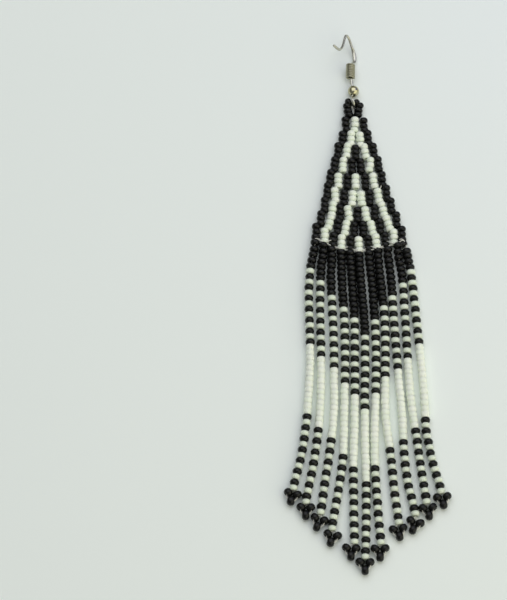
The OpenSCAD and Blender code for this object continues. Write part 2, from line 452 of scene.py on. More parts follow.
# Pale uncoated board: an even, cool near white that shows soft shadows.
PALE_BOARD = MattBoard("pale_matt_board", "#F2F7F3", 0.8)


@dataclass
class Bead:
    """One bead on its thread.

    Attributes:
        at: The bead's middle, in millimetres.
        aim: Which way its hole runs.
        glass: Its colour of glass.
        girth: Its width, as a share of a usual bead's.
        length: Its length along the hole, as a share of a usual bead's.
        dim: How far its colour leans to its glass's second colour, at the least. On white beads this is
            painted shade; on black ones it is a lighter tone of glass.
    """

    at: Vector
    aim: Vector
    glass: Glass
    girth: float = 1.0
    length: float = 1.0
    dim: float = 0.0


@dataclass(frozen=True)
class SeedBeadShape:
    """A round 11/0 seed bead with an oval wall, which is longest near the hole.

    Attributes:
        diameter: Its width, in millimetres.
        length: Its length along the hole, in millimetres.
        hole: The hole's width, in millimetres.
        shoulder: Where the wall is longest, as a share of the way from the hole to the girth.
        sides: Steps round the hole.
        section_angles: Where the points of the wall's outline lie, in degrees.
    """

    diameter: float
    length: float
    hole: float = 0.7
    shoulder: float = 0.27
    sides: int = 12
    section_angles: tuple[float, ...] = (-76.0, -40.0, 0.0, 40.0, 76.0, 130.0, 230.0)

    def mesh(self) -> bpy.types.Mesh:
        """Turn the wall's outline round the hole, which runs along Z."""
        wall = (self.diameter - self.hole) / 2
        middle = self.hole / 2 + wall * self.shoulder
        outline = []
        for angle in self.section_angles:
            out, up = math.cos(math.radians(angle)), math.sin(math.radians(angle))
            across = wall * (1 - self.shoulder if out > 0 else self.shoulder)
            outline.append((middle + out * across, up * self.length / 2))
        return turned("seed_bead", outline, self.sides)


# The black beads of this earring are the plumper ones.
BEAD_SHAPES = {Glass.WHITE: SeedBeadShape(2.12, 1.46), Glass.BLACK: SeedBeadShape(2.36, 1.5)}


class BeadThreader:
    """Sets a bead on every place of a string, with one Geometry Nodes tree for all strings."""

    # The kinds of what a place tells its bead
    notes: dict[str, str] = {
        "aim": "FLOAT_VECTOR", "size": "FLOAT_VECTOR", "dim": "FLOAT", "black": "BOOLEAN",
    }
    # How far a bead may tilt on its thread, in degrees, and its size differ, as a share
    tilt_deg: float = 4.0
    size_spread: float = 0.035
    # How far a bead's own tone may lie from the batch's main shade
    tone_spread: float = 0.3

    def __init__(self, shapes: dict[Glass, SeedBeadShape]) -> None:
        """Make a bead of each glass, and the tree."""
        self.beads = {glass: new_object("seed_bead", shape.mesh()) for glass, shape in shapes.items()}
        self.tree = self.threading()

    def threading(self) -> PieceTree:
        """Build the tree that turns places into beads.

        Returns:
            A tree whose inputs are the places, the two beads, how unevenly beads are sized,
            tilted and set, a seed, and the two glasses.
        """
        tree = PieceTree("thread_beads", {
            "Places": "Geometry", "White Bead": "Object", "Black Bead": "Object", "Size Spread": "Float",
            "Tilt": "Float", "Play": "Float", "Seed": "Int",
            "White Glass": "Material", "Black Glass": "Material",
        })
        given = tree.given
        tilt, play, seed, spread = (given[label] for label in ("Tilt", "Play", "Seed", "Size Spread"))
        aim, size, dim, is_black = (
            tree.add("GeometryNodeInputNamedAttribute", {"Name": name}, data_type=kind)
            for name, kind in self.notes.items()
        )
        less_tilt, less_play, small, large, size_seed, tone_seed, play_seed = (
            tree.add("ShaderNodeMath", {0: a, 1: b}, operation=operation)
            for operation, a, b in (
                ("MULTIPLY", tilt, -1.0), ("MULTIPLY", play, -1.0), ("SUBTRACT", 1.0, spread),
                ("ADD", 1.0, spread), ("ADD", seed, 1.0), ("ADD", seed, 2.0), ("ADD", seed, 3.0),
            )
        )
        least, most = (
            tree.add("ShaderNodeCombineXYZ", {"X": lean, "Y": lean, "Z": spin})
            for lean, spin in ((less_tilt, -math.pi), (tilt, math.pi))
        )
        wobble, off_place, uneven, own_tone = (
            tree.add("FunctionNodeRandomValue", {"Min": low, "Max": high, "Seed": drawn}, data_type=kind)
            for low, high, drawn, kind in (
                (least, most, seed, "FLOAT_VECTOR"), (less_play, play, play_seed, "FLOAT_VECTOR"),
                (small, large, size_seed, "FLOAT_VECTOR"), (0.0, self.tone_spread, tone_seed, "FLOAT"),
            )
        )
        parts = add_node(tree.tree, "ShaderNodeSeparateXYZ", {0: uneven}).outputs
        uneven_bead = tree.add("ShaderNodeCombineXYZ", {"X": parts["X"], "Y": parts["X"], "Z": parts["Z"]})
        scale = tree.add("ShaderNodeVectorMath", {0: size, 1: uneven_bead}, operation="MULTIPLY")
        aligned = tree.add("FunctionNodeAlignRotationToVector", {"Vector": aim}, axis="Z")
        tipped = {"Rotation": aligned, "Rotate By": tree.add("FunctionNodeEulerToRotation", {0: wobble})}
        tilted = tree.add("FunctionNodeRotateRotation", tipped, rotation_space="LOCAL")
        set_by_hand = tree.add("GeometryNodeSetPosition", {"Geometry": given["Places"], "Offset": off_place})
        is_white = tree.add("FunctionNodeBooleanMath", {0: is_black}, operation="NOT")
        threaded = add_node(tree.tree, "GeometryNodeJoinGeometry")
        for label, chosen in (("White Bead", is_white), ("Black Bead", is_black)):
            bead = add_node(tree.tree, "GeometryNodeObjectInfo", {"Object": given[label]}).outputs["Geometry"]
            beads = tree.add("GeometryNodeInstanceOnPoints", {
                "Points": set_by_hand, "Selection": chosen, "Instance": bead,
                "Rotation": tilted, "Scale": scale,
            })
            tree.tree.links.new(beads, threaded.inputs[0])
        # The tone is a bead's set lean plus a random one. On white beads, the set lean is painted shade.
        tone = tree.add("ShaderNodeMath", {0: dim, 1: own_tone}, operation="ADD")
        toned = {"Geometry": threaded.outputs[0], "Name": "tone", "Value": tone}
        stored = tree.add("GeometryNodeStoreNamedAttribute", toned, data_type="FLOAT", domain="INSTANCE")
        white = tree.dressed(stored, given["White Glass"])
        black = {"Geometry": white, "Selection": is_black, "Material": given["Black Glass"]}
        tree.deliver(tree.add("GeometryNodeSetMaterial", black))
        return tree

    def string(self, name: str, beads: Sequence[Bead], seed: int, play_mm: float = 0.05) -> Piece:
        """Thread beads into one piece.

        Args:
            name: The piece's name.
            beads: The beads in order.
            seed: The seed of the beads' unevenness.
            play_mm: How far a bead may lie off its place.

        Returns:
            The piece, a plain mesh.
        """
        places = path_of(name, [[bead.at] for bead in beads])
        aims, sizes, dims, blacks = marked(places, self.notes)
        for i, bead in enumerate(beads):
            aims[i].vector = bead.aim.normalized()
            sizes[i].vector = (bead.girth, bead.girth, bead.length)
            dims[i].value = bead.dim
            blacks[i].value = bead.glass is Glass.BLACK
        piece = new_object(name, places)
        values = {
            "White Bead": self.beads[Glass.WHITE],
            "Black Bead": self.beads[Glass.BLACK],
            "Size Spread": self.size_spread,
            "Tilt": math.radians(self.tilt_deg),
            "Play": play_mm * MM,
            "Seed": seed,
            "White Glass": WHITE_GLASS.material(),
            "Black Glass": BLACK_GLASS.material(),
        }
        self.tree.finish(piece, values, spare=tuple(self.notes))
        return piece

    def put_away(self) -> None:
        """Remove the loose beads that the strings were made from."""
        for bead in self.beads.values():
            mesh = bead.data
            bpy.data.objects.remove(bead)
            bpy.data.meshes.remove(mesh)


class ThreadSewer:
    """Turns lines into lengths of thread, with one Geometry Nodes tree for all of them."""

    # Sides of a thread's section
    sides: int = 6

    def __init__(self) -> None:
        """Build the tree that lays a round thread along each line."""
        self.tree = PieceTree("lay_thread", {
            "Lines": "Geometry", "Thickness": "Float", "Sides": "Int", "Step": "Float",
            "Thread": "Material",
        })
        tree, given = self.tree, self.tree.given
        curve = tree.add("GeometryNodeMeshToCurve", {0: given["Lines"]})
        soft = tree.add("GeometryNodeCurveSplineType", {"Curve": curve}, spline_type="CATMULL_ROM")
        even = tree.add("GeometryNodeResampleCurve", {"Curve": soft, "Length": given["Step"]}, mode="LENGTH")
        laid = tree.tube(even, given["Thickness"], given["Sides"])
        tree.deliver(tree.dressed(laid, given["Thread"]))

    def sew(self, name: str, lines: Sequence[Sequence[Vector]], thickness: float, step: float) -> Piece:
        """Lay thread along lines.

        Args:
            name: The piece's name.
            lines: The points of each line, in millimetres.
            thickness: The thread's thickness, in millimetres.
            step: How long each straight bit is, in millimetres.

        Returns:
            The piece, a plain mesh.
        """
        piece = new_object(name, path_of(name, lines))
        values = {"Thickness": thickness * MM, "Sides": self.sides, "Step": step * MM}
        self.tree.finish(piece, values | {"Thread": WHITE_THREAD.material()})
        piece.data.shade_smooth()
        return piece


@dataclass
class BeadedFan:
    """The brick-stitched fan: rows of bricks of three beads on end, from the crown to the base."""

    threader: BeadThreader
    bead_pitch: float = 1.42
    height: float = 1.15
    # The black beads are pushed narrow, and the white ones are the wider and longer of the batch
    black_girth: float = 0.94
    white_girth: float = 1.06
    white_length: float = 1.06
    # How far the beads lean to their glass's second colour at the least: painted shade on the white ones, a
    # lighter tone of glass on the black ones
    black_dim: float = 0.2
    white_painted_shade: float = 0.1
    lean_deg: float = 4.5
    play: float = 0.08
    seed: int = 11
    # The rows under the crown: across, along, pitch, sag, and a letter for the glass of each brick.
    # A row has two bricks more than its number, which starts at one.
    rows: tuple[tuple[float, float, float, float, str], ...] = (
        (-1.48, 47.2, 2.28, 0.0, "BWB"),
        (-1.40, 43.15, 2.20, 0.12, "BWWB"),
        (-1.35, 39.5, 2.25, 0.08, "BWBWB"),
        (-1.30, 35.45, 2.23, 0.08, "BWBBWB"),
        (-1.35, 30.85, 2.20, 0.12, "BWBWBWB"),
        (-1.30, 26.2, 2.17, 0.13, "BWBWWBWB"),
        (-1.15, 21.85, 2.15, 0.13, "BWBWBWBWB"),
        (-0.95, 17.65, 2.13, 0.13, "BWBWBBWBWB"),
        (-0.90, 13.6, 2.18, 0.12, "BWBWBWBWBWB"),
    )
    # The crown's two stacks, from the top down: across, along, height, bearing of the hole, girth, length
    crown: tuple[tuple[float, float, float, float, float, float], ...] = (
        (-3.0, 54.0, 1.05, 30, 0.88, 0.95),
        (-3.38, 52.75, 1.2, 70, 0.97, 0.9),
        (-3.12, 51.4, 1.12, 98, 1.0, 0.9),
        (-2.85, 50.2, 1.08, 94, 0.98, 0.9),
        (-0.95, 53.9, 1.05, 150, 0.88, 0.95),
        (-0.18, 52.75, 1.2, 112, 0.97, 0.9),
        (-0.42, 51.4, 1.12, 84, 1.0, 0.9),
        (-0.56, 50.2, 1.08, 86, 0.98, 0.9),
    )
    # Bricks that the stitching has pulled askew: row and brick, then right, up, and lean in degrees
    askew: dict[tuple[int, int], Triple] = field(default_factory=lambda: {
        (1, 0): (-0.05, 0.25, 8), (1, 1): (0, 0.05, -3), (1, 2): (0.1, -0.15, 2),
        (2, 0): (-0.1, -0.1, 0), (2, 1): (0, 0.1, -2), (2, 2): (0.1, -0.2, 2),
        (3, 0): (-0.05, 0.15, 0), (3, 1): (0, 0.25, -3), (3, 2): (0, -0.1, 0), (3, 3): (0.1, 0.05, 9),
        (4, 1): (-0.05, 0.1, 0), (4, 4): (0.15, 0.1, -8),
        (5, 0): (0, 0.35, 0), (5, 1): (-0.2, -0.05, 3), (5, 2): (-0.15, 0.1, 0), (5, 3): (-0.2, 0.2, 0),
        (5, 5): (0, -0.1, 5), (5, 6): (0, -0.35, 0),
        (6, 0): (0.05, 0.7, 0), (6, 1): (-0.1, 0.15, 6), (6, 3): (-0.05, 0.05, -3),
        (6, 4): (0.05, -0.1, 4), (6, 6): (0.05, -0.15, 7),
        (7, 0): (0.25, 0.6, 0), (7, 1): (0, 0.2, -6), (7, 2): (-0.2, 0, 0), (7, 3): (-0.25, 0, 7),
        (7, 4): (-0.15, -0.25, 0), (7, 5): (-0.1, -0.2, 6), (7, 7): (-0.1, 0.2, 9), (7, 8): (-0.1, 0.35, 0),
        (8, 0): (0.05, 0.45, 0), (8, 1): (0.1, 0.3, -10), (8, 3): (-0.1, 0, -9), (8, 4): (-0.15, -0.05, 0),
        (8, 6): (0.1, -0.05, 10), (8, 8): (0, 0, 12),
        (9, 0): (0, 0.5, 0), (9, 1): (0.05, 0.3, 3), (9, 3): (-0.1, -0.1, 0), (9, 5): (-0.15, -0.25, 4),
        (9, 7): (-0.05, 0.05, 5), (9, 9): (0, -0.05, -2), (9, 10): (-0.1, -0.3, -4),
    })

    def brick(self, row: int, brick: int) -> tuple[Vector, Vector]:
        """Return the middle of a brick, in millimetres, and the direction up along its holes.

        Args:
            row: The row's number, from one under the crown.
            brick: Which brick of the row, counted from nought at the left.
        """
        across, along, pitch, sag, _ = self.rows[row - 1]
        right, up, askew = self.askew.get((row, brick), (0, 0, 0))
        place = brick - (row + 1) / 2
        middle = Vector((across + place * pitch, along + place * place * sag, self.height))
        return middle + Vector((right, up, 0.0)), bearing(90 + self.lean_deg * 2 / (row + 1) * place + askew)

    def beads(self) -> list[Bead]:
        """List the beads of the fan: the crown's stacks, then each brick's three."""
        listed = [
            Bead(Vector((x, y, z)), bearing(turn), Glass.BLACK, girth, length)
            for x, y, z, turn, girth, length in self.crown
        ]
        # The fan's white beads get a little painted shade.
        kinds = {
            Glass.BLACK: (self.black_girth, 1.0, self.black_dim),
            Glass.WHITE: (self.white_girth, self.white_length, self.white_painted_shade),
        }
        for row, (*_, letters) in enumerate(self.rows, 1):
            for brick, letter in enumerate(letters):
                middle, along = self.brick(row, brick)
                for step in (1, 0, -1):
                    at = middle + along * step * self.bead_pitch
                    listed.append(Bead(at, along, Glass(letter), *kinds[Glass(letter)]))
        return listed

    def build(self) -> list[Piece]:
        """Make the fan's beads, which stand for the panel."""
        piece = self.threader.string("beaded_fan", self.beads(), self.seed, self.play)
        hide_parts("beaded_panel")
        return [piece]


@dataclass(frozen=True)
class StrandPlan:
    """How one strand of the fringe is strung and lies.

    Attributes:
        black: Black beads at its head.
        pitch: From bead to bead, in millimetres.
        slack: More bare thread at its head, in millimetres.
        lie: How far it lies to the right of its brick, at its head and at each eighth of it.
        drift: How far its beads have slid down from even spacing: at the head, at the first white
            bead, at both ends of the plain stretch, and at the last bead.
        picot_drop: From its end to the middle of its picot, in millimetres.
        picot_side: How far that lies to the right of the strand's line.
        picot_turn: How far the picot is turned, in degrees.
    """

    black: int
    pitch: float
    slack: float
    lie: tuple[float, ...]
    drift: tuple[float, float, float, float, float]
    picot_drop: float
    picot_side: float
    picot_turn: float


@dataclass
class Fringe:
    """Eleven strings of beads that hang from the base row, and the picot at the end of each."""

    threader: BeadThreader
    # Where the strands hang from: across, along, pitch, sag
    hangs_at: Four = (-0.90, 14.2, 2.18, 0.115)
    brick_half: float = 2.13
    bare_thread: float = 0.15
    height: float = 1.22
    picot_reach: float = 1.34
    # Each bead of a picot: its bearing, its share of the reach, its girth and its length
    petals: tuple[Four, ...] = ((30, 1.0, 1.0, 1.12), (150, 1.0, 1.0, 1.12), (270, 0.95, 1.06, 1.2))
    # Beads off their strand's line: strand and bead, then right, up, lift, and turn in degrees
    strays: dict[tuple[int, int], Four] = field(default_factory=lambda: {
        (0, 0): (0.1, 0.2, 0.25, -6), (1, 0): (-0.1, 0, 0.4, 0), (2, 0): (-0.2, 0.1, 0, 0),
        (8, 0): (0.15, 0, 0.2, 0), (9, 0): (0.25, -0.1, 0.75, 12), (9, 1): (0.1, 0, 0.3, 4),
        (10, 0): (-0.6, 0.1, 0, 25), (10, 1): (0.05, -0.3, 0, 8),
    })
    # Beads below the black head: pairs of a white and a black one, plain white ones, and pairs again
    pairs: int = 7
    plain: int = 13
    # Widths of the white and the black beads, as shares: in the head, the pairs, the plain stretch
    # and the lower pairs
    girths: tuple[Pair, ...] = ((1.04, 1.04), (1.06, 1.0), (1.0, 1.0), (0.97, 1.02))
    # White beads strung on end are pushed close
    packed_length: float = 1.4
    # How far the white beads that lie between black ones lean to their glass's greyer second colour, as
    # painted shade, and how far the black beads lean to theirs, a lighter tone of glass
    pair_painted_shade: float = 0.62
    black_dim: float = 0.35
    # Steps of a strand's route, how many of them a point of the thread inside it stands for, and how
    # far that thread reaches into the brick above
    steps: int = 200
    core_stride: int = 10
    core_reach: float = 1.0
    # Bearings of that thread's points round a picot, before the picot's own turn
    core_ring: range = range(60, -241, -30)
    # The first strand's seed, the step to the next strand's, and the step to its own picot's
    seed: int = 101
    seed_step: int = 10
    picot_seed: int = 5
    strands: tuple[StrandPlan, ...] = (
        StrandPlan(5, 1.45, 0, (-0.2, -1.5, -2.0, -1.8, -1.8, -2.3, -3.0, -4.3, -6.2),
                   (0.3, 0.85, 1.2, 0.6, 0.35), 1.7, -0.1, -15),
        StrandPlan(7, 1.44, 0, (-0.25, -1.15, -1.35, -1.3, -1.3, -1.6, -2.4, -3.7, -5.4),
                   (0.0, 0.25, 0.7, 0.4, 0.35), 1.6, 0.2, -2),
        StrandPlan(9, 1.42, 0, (-0.3, -0.75, -0.5, -0.3, -0.3, -0.5, -1.4, -2.8, -4.0),
                   (0.2, 0.8, 0.4, 0.1, 0.0), 1.75, -0.35, -19),
        StrandPlan(11, 1.43, 0, (-0.3, -0.2, 0.2, 0.3, 0.1, -0.2, -0.6, -2.0, -3.5),
                   (0.4, 0.4, 0.8, 0.6, 0.2), 1.75, 0.1, -14),
        StrandPlan(13, 1.43, 0, (-0.2, 0.2, 0.6, 0.5, 0.4, 0.1, -0.3, -0.4, -0.4),
                   (0.15, 0.15, 0.55, 0.65, 0.1), 1.65, -0.8, -5),
        StrandPlan(16, 1.41, 0.2, (-0.2, 0.3, 0.9, 0.9, 0.6, 0.5, 0.5, 0.4, 0),
                   (0.4, 0.45, 0.45, 0.65, 0.35), 1.7, -0.1, 0),
        StrandPlan(13, 1.435, 0, (0.1, 0.8, 1.3, 1.4, 1.1, 0.7, 0.6, 1.0, 1.6),
                   (0.25, 0.6, 0.1, 0.1, 0.1), 1.6, -0.3, 1),
        StrandPlan(11, 1.40, 0, (0.2, 0.8, 1.5, 1.6, 1.3, 1.3, 2.2, 2.9, 3.8),
                   (0.0, 0.5, -0.1, 0.1, 0.2), 1.7, -0.2, 8),
        StrandPlan(9, 1.43, 0, (0.4, 1.2, 1.6, 2.0, 2.5, 3.1, 3.3, 4.0, 5.7),
                   (0.3, 0.8, 0.5, 0.3, 0.0), 2.0, -0.5, -18),
        StrandPlan(7, 1.44, 0, (0.6, 1.8, 2.2, 2.5, 2.8, 3.3, 4.3, 5.2, 6.3),
                   (0.1, 1.0, 1.2, 0.7, 0.1), 1.65, 0.15, 7),
        StrandPlan(5, 1.45, 0.9, (0.7, 1.9, 2.6, 3.2, 3.8, 4.3, 4.5, 5.8, 7.7),
                   (-0.3, 0.3, 0.2, 0.55, 0.35), 1.65, 0.1, 8),
    )

    def glasses(self, plan: StrandPlan) -> list[Glass]:
        """List a strand's beads: the black head, pairs, plain white, and pairs again."""
        white_first = [Glass.WHITE, Glass.BLACK] * self.pairs
        return [Glass.BLACK] * plan.black + white_first + [Glass.WHITE] * self.plain + white_first[::-1]

    def stops(self, plan: StrandPlan) -> tuple[int, ...]:
        """Return where a strand's four stretches begin and the last one ends, in beads from its head."""
        upper = plan.black + 2 * self.pairs
        lower = upper + self.plain
        return (0, plan.black, upper, lower, lower + 2 * self.pairs)

    def route(self, index: int) -> list[Vector]:
        """Return the middle line of a strand, in equal steps, in millimetres."""
        plan = self.strands[index]
        across_middle, along, pitch, sag = self.hangs_at
        place = index - (len(self.strands) - 1) / 2
        step = self.stops(plan)[-1] * plan.pitch / self.steps
        across = [
            across_middle + place * pitch + smooth(plan.lie, k / self.steps * (len(plan.lie) - 1))
            for k in range(self.steps + 1)
        ]
        y = along + place * place * sag - self.brick_half - self.bare_thread - plan.slack
        line = [Vector((across[0], y, self.height))]
        for before, here in zip(across, across[1:]):
            y -= math.sqrt(step * step - (here - before) ** 2)
            line.append(Vector((here, y, self.height)))
        return line

    def strand(self, index: int) -> list[Bead]:
        """List the beads of one strand."""
        plan, line = self.strands[index], self.route(index)
        glasses, stops = self.glasses(plan), self.stops(plan)
        beads = []
        for k, glass in enumerate(glasses):
            middle = k + 0.5
            stretch = sum(k >= stop for stop in stops[1:-1])
            start, end = stops[stretch:stretch + 2]
            slid, slid_at_end = plan.drift[stretch:stretch + 2]
            slid += (middle - start) / (end - start) * (slid_at_end - slid)
            t = (middle * plan.pitch + slid) / (len(glasses) * plan.pitch) * self.steps
            right, up, lift, turn = self.strays.get((index, k), (0, 0, 0, 0))
            aim = Matrix.Rotation(math.radians(turn), 3, "Z") @ (line[int(t)] - line[int(t) + 1])
            at = smooth(line, t) + Vector((right, up, lift))
            packed = glass is Glass.WHITE and Glass.WHITE in (glasses[k - 1], glasses[(k + 1) % len(glasses)])
            length = self.packed_length if packed else 1.0
            # White beads among black ones get painted shade; white beads packed together get none.
            dim = self.black_dim if glass is Glass.BLACK else 0.0 if packed else self.pair_painted_shade
            beads.append(Bead(at, aim, glass, self.girths[stretch][glass is Glass.BLACK], length, dim))
        return beads

    def picot_middle(self, index: int) -> Vector:
        """Return the middle of a strand's picot, in millimetres."""
        plan, line = self.strands[index], self.route(index)
        middle = line[-1] + (line[-1] - line[-2]).normalized() * plan.picot_drop
        return middle + Vector((plan.picot_side, 0, 0))

    def picot(self, index: int) -> list[Bead]:
        """List the three beads of one picot, each with its hole along the ring."""
        beads = []
        for petal, share, girth, length in self.petals:
            angle = petal + self.strands[index].picot_turn
            at = self.picot_middle(index) + bearing(angle) * self.picot_reach * share
            beads.append(Bead(at, bearing(angle + 90), Glass.BLACK, girth, length, self.black_dim))
        return beads

    def core(self, index: int) -> list[Vector]:
        """Return the thread inside a strand: down it, round its picot and back into its last bead."""
        line, turn = self.route(index), self.strands[index].picot_turn
        head = line[0] + Vector((0.0, self.core_reach, 0.0))
        middle = self.picot_middle(index)
        loop = [middle + bearing(angle + turn) * self.picot_reach for angle in self.core_ring]
        return [head, *line[::self.core_stride], *loop, line[-1]]

    def build(self) -> list[Piece]:
        """Make each strand and picot, which stand for their solids."""
        pieces = []
        for index in range(len(self.strands)):
            number, seed = f"{index + 1:02d}", self.seed + self.seed_step * index
            strand = self.threader.string(f"strand_{number}_beads", self.strand(index), seed)
            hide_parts(f"strand_{number}")
            picot = self.threader.string(f"picot_{number}_beads", self.picot(index), seed + self.picot_seed)
            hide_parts(f"picot_{number}")
            pieces += [strand, picot]
        return pieces


@dataclass
class Stitching:
    """The bare thread that shows: in the strands, along the base, at its corners and in the crown's fork."""

    sewer: ThreadSewer
    fan: BeadedFan
    fringe: Fringe
    core_thickness: float = 0.3
    core_step: float = 0.5
    stitch_thickness: float = 0.2
    stitch_step: float = 0.15
    # Points of a bridge from column to column: a share of its span, then up the page and over the beads
    bridge: tuple[Triple, ...] = (
        (0, 0.05, 0), (0.2, -0.1, 0.6), (0.5, 0.02, 0.75), (0.8, -0.1, 0.6), (1, 0.05, 0),
    )
    # From the middle of a brick to its foot, in bead pitches
    foot_pitches: float = 1.5
    # How far a loop under a white base brick reaches to each side, how high its ends rise, and how
    # late they do
    loop_reach: float = 1.6
    loop_rise: float = 0.72
    loop_power: float = 1.5
    # Points of such a loop: a share of its reach, and how high it lies over the beads' middles
    loop_lifts: tuple[Pair, ...] = (
        (-1.1, 0.6), (-0.8, 0.95), (-0.4, 1.05), (0.0, 1.0), (0.4, 1.05), (0.8, 0.95), (1.1, 0.6),
    )
    # The fork in the crown, the threads left at the base's corners, and a spur by a white brick
    loose: tuple[tuple[Triple, ...], ...] = (
        ((-2.7, 50.2, 0.9), (-2.0, 50.1, 0.9), (-1.7, 50.9, 0.8), (-1.75, 52.0, 0.8), (-2.2, 52.9, 0.9)),
        ((-12.5, 14.5, 1.2), (-12.1, 14.75, 1.9), (-11.5, 14.7, 2.2), (-10.8, 14.25, 2.2),
         (-10.4, 13.8, 1.8)),
        ((-10.2, 13.6, 1.9), (-9.7, 13.6, 2.2), (-9.2, 13.4, 2.2), (-8.7, 13.2, 2.1), (-8.2, 12.9, 1.8)),
        ((8.4, 13.3, 1.8), (8.8, 13.45, 2.2), (9.4, 13.9, 2.4), (9.9, 14.1, 2.3), (10.3, 14.0, 2.1),
         (10.8, 13.4, 1.8), (10.85, 12.6, 1.6), (10.5, 12.0, 1.5)),
        ((9.2, 14.5, 2.0), (9.6, 14.5, 2.3), (10.2, 14.2, 2.3), (10.45, 13.5, 2.2), (10.1, 12.8, 1.9)),
        ((4.3, 28.4, 1.7), (4.7, 28.9, 2.1), (4.9, 29.4, 2.4)),
    )

    def base_bridges(self) -> list[list[Vector]]:
        """Return the bridges from column to column, and the loops that hold each white brick's foot."""
        base = len(self.fan.rows)
        letters = self.fan.rows[-1][-1]
        foot_drop = Vector((0.0, -self.foot_pitches * self.fan.bead_pitch, 0.0))
        feet = [self.fan.brick(base, brick)[0] + foot_drop for brick in range(len(letters))]
        bridges = [
            [left + share * (right - left) + Vector((0.0, up, lift)) for share, up, lift in self.bridge]
            for left, right in zip(feet, feet[1:])
        ]
        loops = [
            [
                foot + Vector((share * self.loop_reach, abs(share) ** self.loop_power * self.loop_rise, lift))
                for share, lift in self.loop_lifts
            ]
            for foot, letter in zip(feet, letters) if letter == Glass.WHITE.value
        ]
        return bridges + loops

    def build(self) -> list[Piece]:
        """Lay the core threads and the stitches."""
        cores = [self.fringe.core(index) for index in range(len(self.fringe.strands))]
        stitches = self.base_bridges() + [[Vector(p) for p in line] for line in self.loose]
        return [
            self.sewer.sew("core_threads", cores, self.core_thickness, self.core_step),
            self.sewer.sew("stitches", stitches, self.stitch_thickness, self.stitch_step),
        ]


